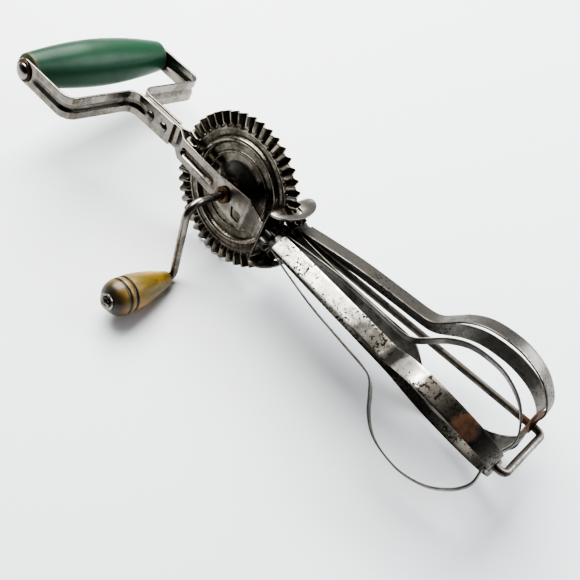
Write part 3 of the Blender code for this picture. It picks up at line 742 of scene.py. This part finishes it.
def grow(tree, values, finish):
    thing = addObject("blank", bpy.data.meshes.new("blank"))
    modifier = thing.modifiers.new("grow", "NODES")
    modifier.node_group = tree
    names = {item.name: item.identifier for item in tree.interface.items_tree if item.in_out == "INPUT"}
    for key, value in {**values, "Finish": finish}.items():
        modifier[names[key]] = value
    bpy.context.view_layer.update()
    bm = evaluated(thing)
    thing.modifiers.remove(modifier)
    drop(thing)
    return bm


def rowTree():
    tree, given, out = growTree("row of copies", Shape="Object", Count=2, First=(0, 0, 0), Spacing=(1, 0, 0))
    line = node(tree, "GeometryNodeMeshLine", Count=given["Count"], Start_Location=given["First"],
                Offset=given["Spacing"])
    shape = node(tree, "GeometryNodeObjectInfo", Object=given["Shape"])
    copies = node(tree, "GeometryNodeInstanceOnPoints", Points=line.outputs[0], Instance=shape.outputs["Geometry"])
    return endTree(tree, given, out, copies.outputs[0])


rivet = {"first": (-54.2, 0, 0), "spacing": (-10.2, 0, 0), "radius": 1.5, "head": 2.7, "rise": 1.2, "at": 3.1}


def makeNeckRivets():
    top = domed(rivet["head"], rivet["rise"], rivet["at"])
    stem = [(rivet["radius"], rivet["at"])]
    profile = top[::-1] + stem + mirrored(stem) + mirrored(top)
    shape = partFor(turned(profile, 40, alongY), "rivet shape")
    bm = grow(rowTree(), {"Shape": shape, "Count": 2, "First": rivet["first"], "Spacing": rivet["spacing"]},
              finishes["nickel plate"])
    drop(shape)
    deliver(bm, "neck rivets", "frame", "nickel plate", ["near_neck_rivet", "far_neck_rivet"])


guard = {"wallX": 29.3, "thickness": 1.2, "halfHeight": 14.9, "wallHalf": 11.8, "lobeHalf": 15.8, "reach": 11.0,
         "bend": 2.0, "slotHalf": 2.7, "slotEnd": 37.41, "rootX": 31.8}


def axlePoint(side, x):
    return Vector((x, side * (axleTop + (x - pinionX) * tan(axleSplay)), 0))


def alongAxle(side, x):
    return Matrix.Translation(axlePoint(side, x)) @ Euler((0, pi / 2, side * axleSplay)).to_matrix().to_4x4()


def axleHole(side, radius, x, length):
    return rodCutter(radius, -length / 2, length / 2, 32, alongAxle(side, x))


def makeGuard():
    g = guard
    tip = g["wallX"] + g["reach"] + 5
    path = rounded([(tip, 0, g["halfHeight"]), (g["wallX"], 0, g["halfHeight"]), (g["wallX"], 0, -g["halfHeight"]),
                    (tip, 0, -g["halfHeight"])], (g["bend"], g["bend"]), 8)
    bm = bmesh.new()
    across = Vector((0, 22, 0))
    rows = []
    for i, p in enumerate(path):
        normal = tangentAt(path, i).cross(Vector((0, 1, 0))).normalized() * g["thickness"] / 2
        rows.append([bm.verts.new(p + a * across + b * normal) for a, b in ((-1, 1), (1, 1), (1, -1), (-1, -1))])
    skinRows(bm, rows)
    lobe = arc((g["rootX"], 0), g["reach"] - 2.5, g["lobeHalf"], -pi / 2, pi / 2, 48)
    wall = g["wallX"] - g["thickness"]
    outline = prism(lobe + [(wall, g["wallHalf"]), (wall, -g["wallHalf"])], -40, 40, "Z")
    w = g["slotHalf"]
    end = arc((g["slotEnd"] - w, 0), w, w, -pi / 2, pi / 2, 12)
    slot = prism([(wall - 3, -w)] + end + [(wall - 3, w)], -40, 40, "Z")
    tools = [("INTERSECT", outline), ("DIFFERENCE", slot)]
    tools += [("DIFFERENCE", axleHole(side, 2.05, g["wallX"], 8)) for side in (-1, 1)]
    bm = carve(bm, tools, 0.22)
    deliver(bm, "pinion guard", "frame", "nickel plate")


makePlate(-1, "front")
makePlate(1, "rear")
makeNeckRivets()
makeGuard()
print("stage: plates, rivets and guard are built")

# drive wheel: one section carried round the shaft, with the teeth pressed in as a wave

wheel = {
    "teeth": 45, "steps": 540, "toothHeight": 1.45, "bandStart": 31.3, "bandRise": 1.9, "sheet": 0.9,
    "rim": [(38.93, -0.3, 0.0), (39.0, 0.0, 0.0), (38.93, 0.3, 0.0)],
    # radius, offset and painted darkening of the middle of the sheet; the flat rings and the centre are darker, the
    # beads and the rim are left undarkened
    "section": [(2.3, -3.1, .5), (4.9, -3.1, .6), (5.3, -3.3, .3), (5.9, -3.45, .1), (6.5, -3.3, .3), (7.0, -2.9, .5),
                (8.2, -2.75, .3), (9.6, -2.4, .2), (11.0, -1.85, .2), (12.4, -1.15, .2), (13.6, -0.5, .3),
                (14.6, -0.1, .45), (15.6, 0.1, .6), (17.4, 0.15, .75), (18.9, 0.05, .8), (19.15, -0.3, .3),
                (19.6, -0.5, 0), (20.05, -0.3, .3), (20.3, 0.1, .8), (20.9, 0.15, .7), (22.2, 0.2, .6),
                (23.6, 0.25, .8), (24.2, 0.15, .9), (24.5, -0.3, .7), (24.8, -1.1, .2), (25.2, -1.6, 0),
                (25.7, -1.75, 0), (26.2, -1.6, 0), (26.6, -1.1, .2), (26.9, -0.3, .7), (27.3, 0.0, .9),
                (28.4, 0.05, .8), (29.4, 0.05, .65), (30.2, 0.0, .7), (30.6, -0.25, .3), (31.0, -0.3, .2),
                (31.5, -0.1, .6), (32.2, 0.0, .4), (33.0, 0.0, .25), (34.0, 0.0, .15), (35.0, 0.0, .1), (36.0, 0.0, 0),
                (37.0, 0.0, 0), (38.0, 0.0, 0), (38.5, 0.0, 0), (38.8, 0.0, 0)]}


def wheelTree():
    tree, given, out = growTree("pressed wheel", Section="Object", Section_Points=2, Steps=360, Teeth=45,
                                Tooth_Height=1.0, Band_Start=30.0, Band_End=32.0)
    columns = node(tree, "FunctionNodeIntegerMath", {"operation": "ADD"}, i0=given["Steps"], i1=1).outputs[0]
    grid = node(tree, "GeometryNodeMeshGrid", Vertices_X=given["Section Points"], Vertices_Y=columns)
    index = node(tree, "GeometryNodeInputIndex").outputs[0]
    ring = node(tree, "FunctionNodeIntegerMath", {"operation": "DIVIDE_FLOOR"}, i0=index, i1=columns).outputs[0]
    turn = node(tree, "FunctionNodeIntegerMath", {"operation": "MODULO"}, i0=index, i1=columns).outputs[0]
    section = node(tree, "GeometryNodeObjectInfo", Object=given["Section"])
    where = node(tree, "GeometryNodeInputPosition").outputs[0]
    sample = node(tree, "GeometryNodeSampleIndex", {"data_type": "FLOAT_VECTOR"}, Geometry=section.outputs["Geometry"],
                  Value=where, Index=ring)
    parts = node(tree, "ShaderNodeSeparateXYZ", Vector=sample.outputs[0])
    share = math(tree, "DIVIDE", turn, given["Steps"])
    angle = times(tree, share, 2 * pi)
    wave = math(tree, "COSINE", times(tree, angle, given["Teeth"]))
    dip = math(tree, "POWER", mulAdd(tree, wave, -0.5, 0.5), 1.7)  # wide crests, narrow valleys
    wide = mulAdd(tree, dip, -2.0, 1.0)
    rise = smoothRange(tree, parts.outputs[0], given["Band Start"], given["Band End"])
    lift = times(tree, times(tree, wide, rise), given["Tooth Height"])
    place = node(tree, "ShaderNodeCombineXYZ", X=times(tree, parts.outputs[0], math(tree, "COSINE", angle)),
                 Y=math(tree, "SUBTRACT", parts.outputs[1], lift),
                 Z=times(tree, parts.outputs[0], math(tree, "SINE", angle)))
    moved = node(tree, "GeometryNodeSetPosition", Geometry=grid.outputs[0], Position=place.outputs[0])
    # painted shade: the tooth valleys are painted darker, combined with the section's darkening by radius
    valleyShadeAndDarkening = math(tree, "MAXIMUM", times(tree, rise, dip), parts.outputs[2])
    marked = node(tree, "GeometryNodeStoreNamedAttribute", {"data_type": "FLOAT", "domain": "POINT"},
                  Geometry=moved.outputs[0], Name="grime")
    tree.links.new(valleyShadeAndDarkening, next(s for s in marked.inputs if s.name == "Value" and s.type == "VALUE"))
    joined = node(tree, "GeometryNodeMergeByDistance", Geometry=marked.outputs[0], Distance=0.001)
    return endTree(tree, given, out, joined.outputs[0])


def makeWheel():
    half = wheel["sheet"] / 2
    middle = wheel["section"]
    front, back = [], []
    for i, (r, y, darkening) in enumerate(middle):
        r0, y0, before = middle[max(0, i - 1)]
        r1, y1, after = middle[min(len(middle) - 1, i + 1)]
        run = hypot(r1 - r0, y1 - y0)
        nr, ny = (y1 - y0) / run, -(r1 - r0) / run
        front.append((r + nr * half, y + ny * half, darkening))
        back.append((r - nr * half, y - ny * half, darkening))
    loop = front + wheel["rim"] + back[::-1] + [front[0]]
    outline = bpy.data.meshes.new("wheel section")
    outline.from_pydata(loop, [], [])
    section = addObject("wheel section", outline)
    bm = grow(wheelTree(), {
        "Section": section, "Section Points": len(loop), "Steps": wheel["steps"], "Teeth": wheel["teeth"],
        "Tooth Height": wheel["toothHeight"], "Band Start": wheel["bandStart"],
        "Band End": wheel["bandStart"] + wheel["bandRise"]}, finishes["worn wheel plate"])
    drop(section)
    deliver(bm, "drive wheel", "crank", "worn wheel plate", smooth=60)


makeWheel()
print("stage: drive wheel is grown")

# shaft fittings, crank and knob

shaft = {"bore": 2.3, "bushFlange": 4.3, "bushBarrel": 3.4, "flangeThickness": 1.3, "hub": 4.4, "retainer": 4.2}


def ringBetween(name, inner, outer, low, high, body, finish, place=alongY, soft=0.25):
    ring = [(inner, low), (outer - soft, low), (outer, low + soft), (outer, high - soft), (outer - soft, high),
            (inner, high)]
    deliver(turned(ring, 56, place), name, body, finish)


def makeShaftFittings():
    for label, side in (("front", -1), ("rear", 1)):
        low, high = nodeBox(label + "_shaft_bush")
        near, far = (high.y, low.y) if side < 0 else (low.y, high.y)
        face = far - side * shaft["flangeThickness"]
        r = shaft["bushFlange"]
        profile = [(shaft["bore"], far), (r - 0.9, far), (r - 0.35, far - side * 0.12), (r, far - side * 0.45),
                   (r, face), (shaft["bushBarrel"], face), (shaft["bushBarrel"], near), (shaft["bore"], near)]
        deliver(turned(profile, 56, alongY), label + " shaft bush", "frame", "brown steel")
        low, high = nodeBox(label + "_wheel_hub")
        ringBetween(label + " wheel hub", shaft["bore"], shaft["hub"], low.y, high.y, "crank", "brown steel")
    low, high = nodeBox("crank_retainer")
    ringBetween("crank retainer", shaft["bore"], shaft["retainer"], low.y, high.y, "crank", "nickel plate")


crank = {"throw": 45.9, "rest": radians(3.5), "elbowY": -33.0, "footY": -27.6, "elbowBend": 7.5, "footBend": 3.6,
         "headRise": 1.6, "peen": [(0, 0.15), (2.7, 0.15), (2.9, 0.0), (2.9, -0.55), (2.6, -0.95), (2.1, -1.2),
                                   (1.5, -1.35), (1.0, -1.6), (0, -1.6)]}
crankDrop = Vector((sin(crank["rest"]), 0, -cos(crank["rest"]))) * crank["throw"]


def makeCrank():
    c = crank
    tip = crankLow.y + c["headRise"]
    path = rounded([(0, crankHigh.y, 0), (0, c["elbowY"], 0), (crankDrop.x, c["footY"], crankDrop.z),
                    (crankDrop.x, tip, crankDrop.z)], (c["elbowBend"], c["footBend"]), 24)
    bm = tube(path, shaftRadius, 32)
    start = Vector((crankDrop.x, tip, crankDrop.z))
    head = turned(c["peen"], 48, Matrix.Translation(start) @ alongY)
    notch = box((start.x - 3.2, tip - 1.8, start.z - 0.32), (start.x + 3.2, tip - 1.05, start.z + 0.32))
    head = carve(head, [("DIFFERENCE", notch)], 0.08)
    deliver(join(bm, head), "crank rod", "crank", "nickel plate")


knob = {"startY": -31.4, "length": 37.4, "bore": 2.3, "washer": 4.4, "belly": 9.1,
        "skin": [(0.0, 3.5), (0.012, 3.95), (0.035, 4.2), (0.16, 5.55), (0.30, 7.05), (0.48, 8.4), (0.60, 8.97),
                 (0.69, 9.08)],
        "cap": [(0.845, 9.02), (0.88, 8.72), (0.92, 8.1), (0.96, 7.0), (0.985, 5.7), (1.0, 4.5)],
        "grooves": ((0.705, 0.73), (0.805, 0.83)), "grooveDepth": 0.55}


def makeKnob():
    k = knob
    skin = [(p.x, p.y) for p in flow([(t, r, 0) for t, r in k["skin"]], 5)]
    outer, inner = k["belly"], k["belly"] - k["grooveDepth"]
    for start, end in k["grooves"]:
        skin += [(start - 0.012, outer), (start - 0.004, outer - 0.15), (start + 0.003, inner), (end - 0.003, inner),
                 (end + 0.004, outer - 0.15), (end + 0.012, outer)]
    skin += [(p.x, p.y) for p in flow([(t, r, 0) for t, r in k["cap"]], 4)]
    skin = [(0.0, k["bore"])] + skin + [(1.0, k["bore"])]
    profile = [(r, k["startY"] - t * k["length"]) for t, r in skin]
    place = Matrix.Translation(crankDrop) @ alongY
    deliver(turned(profile, 96, place), "knob", "knob", "ochre wood")
    low, high = nodeBox("knob_washer")
    ringBetween("knob washer", k["bore"], k["washer"], low.y, high.y, "crank", "nickel plate", place)


makeShaftFittings()
makeCrank()
makeKnob()
print("stage: crank and knob are built")

# foot wire, pinions and dashers

wire = {"radius": 1.75, "headX": 26.9, "head": 2.7, "headRise": 1.4, "footX": 181.0, "bend": 3.0}


def makeFootWire():
    w = wire
    path = rounded([axlePoint(-1, w["headX"]), axlePoint(-1, w["footX"]), axlePoint(1, w["footX"]),
                    axlePoint(1, w["headX"])], (w["bend"], w["bend"]), 16)
    bm = tube(path, w["radius"], 28)
    for side in (-1, 1):
        top = [(w["head"] * cos(a), -w["headRise"] * sin(a)) for a in (0.0, 0.25, 0.5, 0.8, 1.1, 1.35)]
        head = [(0, 0.2), (w["head"] - 0.3, 0.2), (w["head"], 0.0)] + top[1:] + [(0, -w["headRise"])]
        bm = join(bm, turned(head, 40, alongAxle(side, w["headX"])))
    deliver(bm, "foot wire", "frame", "bare wire")


dasher = {
    "width": 8.6, "thickness": 0.8, "bossHalf": 4.3, "bossLength": 9.0, "face": 4.3, "tip": 7.6, "root": 4.7,
    "teeth": 9, "hub": 3.4, "hubLength": 1.55, "bore": 2.05, "footWasher": 3.6, "footWasherAt": 142.24,
    "flank": [(4.1, 1.15), (4.7, 1.0), (5.9, 0.88), (7.2, 0.66), (7.5, 0.42)],  # radius and half width of a tooth
    "hole": 1.05, "slot": (0.5, 1.9),
    "phase": {"front": radians(45.0), "rear": radians(3.0)},
    "toothTurn": {"front": pi / 9, "rear": pi},
    "outerFoot": 141.14, "innerFoot": 140.04,
    "wing": [(6, 5.0), (20, 7.0), (38, 9.2), (60, 10.4), (76, 11.2), (82, 13.0), (86.5, 17.2), (92.5, 23.4),
             (100.5, 28.2), (110.5, 30.0)],
    "curl": [(0.33, 0.983), (0.68, 0.853), (0.925, 0.633), (1.04, 0.40)],
    "belly": (110.5, 30.0), "close": 4.9}


def dasherPlace(side, turn):
    return Matrix.Translation((pinionX, side * axleTop, 0)) @ Euler((turn, 0, side * axleSplay)).to_matrix().to_4x4()


def toothTree():
    tree, given, out = growTree("ring of teeth", Shape="Object", Teeth=9)
    spots = node(tree, "GeometryNodeMeshLine", Count=given["Teeth"], Offset=(0, 0, 0))
    index = node(tree, "GeometryNodeInputIndex").outputs[0]
    share = math(tree, "DIVIDE", index, given["Teeth"])
    turn = node(tree, "ShaderNodeCombineXYZ", X=times(tree, share, 2 * pi))
    shape = node(tree, "GeometryNodeObjectInfo", Object=given["Shape"])
    copies = node(tree, "GeometryNodeInstanceOnPoints", Points=spots.outputs[0], Instance=shape.outputs["Geometry"],
                  Rotation=turn.outputs[0])
    return endTree(tree, given, out, copies.outputs[0])


def makePinion(side, label, tree):
    d = dasher
    half = d["face"] / 2
    flank = [(r, -w) for r, w in d["flank"]] + [(d["tip"], 0.0)] + d["flank"][::-1]
    shape = partFor(carve(prism(flank, -half, half, "X"), [], 0.2), "tooth shape")
    bm = grow(tree, {"Shape": shape, "Teeth": d["teeth"]}, finishes["blackened steel"])
    drop(shape)
    bore, root = d["bore"], d["root"]
    body = [(bore, -half), (root - 0.25, -half), (root, -half + 0.25), (root, half - 0.25), (root - 0.25, half),
            (bore, half)]
    bm = join(bm, turned(body, 54, alongX))
    bmesh.ops.transform(bm, matrix=dasherPlace(side, d["toothTurn"][label]), verts=bm.verts)
    end = -half - d["hubLength"]
    hub = [(bore, -half), (d["hub"], -half), (d["hub"], end + 0.2), (d["hub"] - 0.2, end), (bore, end)]
    hubPiece = turned(hub, 48, dasherPlace(side, 0) @ alongX)
    b = d["bossHalf"]
    boss = carve(box((half, -b, -b), (half + d["bossLength"], b, b)), [], 0.45)
    boss = carve(boss, [("DIFFERENCE", rodCutter(bore, -5, 20, 32, alongX))])
    bmesh.ops.transform(boss, matrix=dasherPlace(side, d["phase"][label]), verts=boss.verts)
    deliver(join(join(bm, hubPiece), boss), label + " pinion", label + "_dasher", "blackened steel")


def wingPath(foot):
    d = dasher
    along, radius = d["belly"]
    knots = d["wing"] + [(along + a * (foot - along), radius * b) for a, b in d["curl"]] + [(foot, d["close"])]
    return flow([(u, 0, r) for u, r in knots], 14)


def makeLoop(side, label, name, turn, foot, finish, marks=()):
    d = dasher
    wing = wingPath(foot)
    path = wing + [Vector((foot, 0, d["close"] * t)) for t in (0.6, 0.2, -0.2, -0.6)]
    path += [Vector((p.x, 0, -p.z)) for p in reversed(wing)]
    half = d["width"] / 2
    bm = ribbon(path, lambda s, total: half, d["thickness"], Vector((0, 1, 0)), None, 8, 1.0, 0.28)
    cutters = [("DIFFERENCE", rodCutter(d["bore"], -6, 6, 32, Matrix.Translation((foot, 0, 0)) @ alongX))]
    wide, across = d["slot"]
    # painted shade: the floors of the hole and slot pockets are painted dark below
    floors = []
    for kind, u in marks:
        before = max((p for p in wing if p.x <= u), key=lambda p: p.x)
        after = min((p for p in wing if p.x > u), key=lambda p: p.x)
        share = (u - before.x) / (after.x - before.x)
        spot = Vector((u, 0, before.z + (after.z - before.z) * share + d["thickness"] * 0.15))
        floors.append((spot, d["hole"] + 0.01 if kind == "hole" else wide + 0.02))
        if kind == "hole":
            cutters.append(("DIFFERENCE", rodCutter(d["hole"], 0, 4, 20, Matrix.Translation(spot))))
        else:
            cutters.append(("DIFFERENCE", box(spot - Vector((wide, across, 0)), spot + Vector((wide, across, 4)))))
    bm = carve(bm, cutters)
    grime = bm.verts.layers.float.get("grime") or bm.verts.layers.float.new("grime")
    for vert in bm.verts:
        if any(abs(vert.co.x - spot.x) < reach and abs(vert.co.y) < across + 0.05 and abs(vert.co.z - spot.z) < 0.07
               for spot, reach in floors):
            vert[grime] = 1.2  # painted shade: the pocket floor is painted dark as the shadow inside the hole
    bmesh.ops.transform(bm, matrix=dasherPlace(side, turn), verts=bm.verts)
    deliver(bm, label + " " + name + " loop", label + "_dasher", finish)


def makeDasher(side, label, tree, finish, outerMarks, innerMarks):
    d = dasher
    makePinion(side, label, tree)
    phase = d["phase"][label]
    makeLoop(side, label, "outer", phase, d["outerFoot"], finish[0], outerMarks)
    makeLoop(side, label, "inner", phase + pi / 2, d["innerFoot"], finish[1], innerMarks)
    place = dasherPlace(side, 0) @ Matrix.Translation((d["footWasherAt"], 0, 0)) @ alongX
    ringBetween(label + " foot washer", d["bore"], d["footWasher"], -0.4, 0.4, label + "_dasher", "brown steel", place,
                0.18)


makeFootWire()
teeth = toothTree()
makeDasher(-1, "front", teeth, ("bright strip", "tinned strip"), [("hole", 83.0), ("slot", 112.0)], [])
makeDasher(1, "rear", teeth, ("tinned strip", "tinned strip"), [], [("hole", 24.0)])
print("stage: dashers are built")

# camera, floor and light

camera = {
    "from": Vector((181.0, -284.4, 215.9)) * 0.001,  # from the wheel's centre
    "to": Vector((50.7, 0.0, -22.8)) * 0.001,
    "lens": 50.0,
    "roll": 27.92,
}


def aimAt(thing, target, roll=0.0):
    direction = target - thing.location
    turn = direction.to_track_quat("-Z", "Y").to_matrix()
    thing.rotation_euler = (turn @ Matrix.Rotation(radians(roll), 3, "Z")).to_euler()


def makeCamera():
    data = bpy.data.cameras.new("camera")
    data.lens = camera["lens"]
    data.sensor_width = 36.0
    data.clip_start = 0.01
    thing = addObject("camera", data)
    thing.location = wheelCentre + camera["from"]
    aimAt(thing, wheelCentre + camera["to"], camera["roll"])
    bpy.context.scene.camera = thing


floorPlane = {
    "size": 3.0,
    "point": Vector((0.0, 0.0, -39.2)) * 0.001,  # under the wheel's rim
    "normal": Vector((-0.02, -0.305, 0.952)),  # the tool leans on wheel, knob and dashers
    "colour": (0.765, 0.785, 0.80),
}


def makeFloor():
    bpy.ops.mesh.primitive_plane_add(size=floorPlane["size"])
    floor = bpy.context.object
    floor.name = "floor"
    floor.location = wheelCentre + floorPlane["point"]
    floor.rotation_euler = floorPlane["normal"].to_track_quat("Z", "Y").to_euler()
    material, tree, shader = newMaterial("pale floor")
    shader.inputs["Base Color"].default_value = (*floorPlane["colour"], 1)
    shader.inputs["Roughness"].default_value = 0.55
    geometry = node(tree, "ShaderNodeNewGeometry")
    clear = node(tree, "ShaderNodeBsdfTransparent")
    both = node(tree, "ShaderNodeMixShader", Fac=geometry.outputs["Backfacing"], i1=shader.outputs[0],
                i2=clear.outputs[0])
    tree.links.new(both.outputs[0], tree.nodes["Material Output"].inputs["Surface"])
    floor.data.materials.append(material)


lights = {
    "sky": ((0.86, 0.90, 0.95), 0.55), "dark": (0.035, 0.035, 0.04), "darkSide": (0.35, -0.85, 0.25),
    "key": {"at": (-0.50, 0.02, 0.85), "size": (1.1, 0.9), "power": 28.0, "colour": (1.0, 0.99, 0.97)},
    "fill": {"at": (0.5, 0.6, 0.7), "size": (0.7, 0.7), "power": 9.0, "colour": (0.93, 0.96, 1.0)},
}


def makeLights():
    world = bpy.data.worlds.new("studio")
    bpy.context.scene.world = world
    world.use_nodes = True
    tree = world.node_tree
    sky = tree.nodes["Background"]
    colour, strength = lights["sky"]
    sky.inputs["Strength"].default_value = strength
    front = node(tree, "ShaderNodeVectorMath", {"operation": "DOT_PRODUCT"}, i1=lights["darkSide"],
                 i0=node(tree, "ShaderNodeTexCoord").outputs["Generated"])
    dim = smoothRange(tree, front.outputs["Value"], -0.1, 0.75)
    tree.links.new(mix(tree, dim, colour, lights["dark"]), sky.inputs["Color"])
    for name in ("key", "fill"):
        facts = lights[name]
        data = bpy.data.lights.new(name, "AREA")
        data.shape = "RECTANGLE"
        data.size, data.size_y = facts["size"]
        data.energy = facts["power"]
        data.color = facts["colour"]
        lamp = addObject(name, data)
        lamp.location = wheelCentre + Vector(facts["at"])
        aimAt(lamp, wheelCentre + Vector((0.05, 0, 0)))


makeCamera()
makeFloor()
makeLights()
bpy.context.scene.view_settings.view_transform = "AgX"
bpy.context.scene.view_settings.look = "AgX - High Contrast"
print("stage: camera, floor and lights are ready")
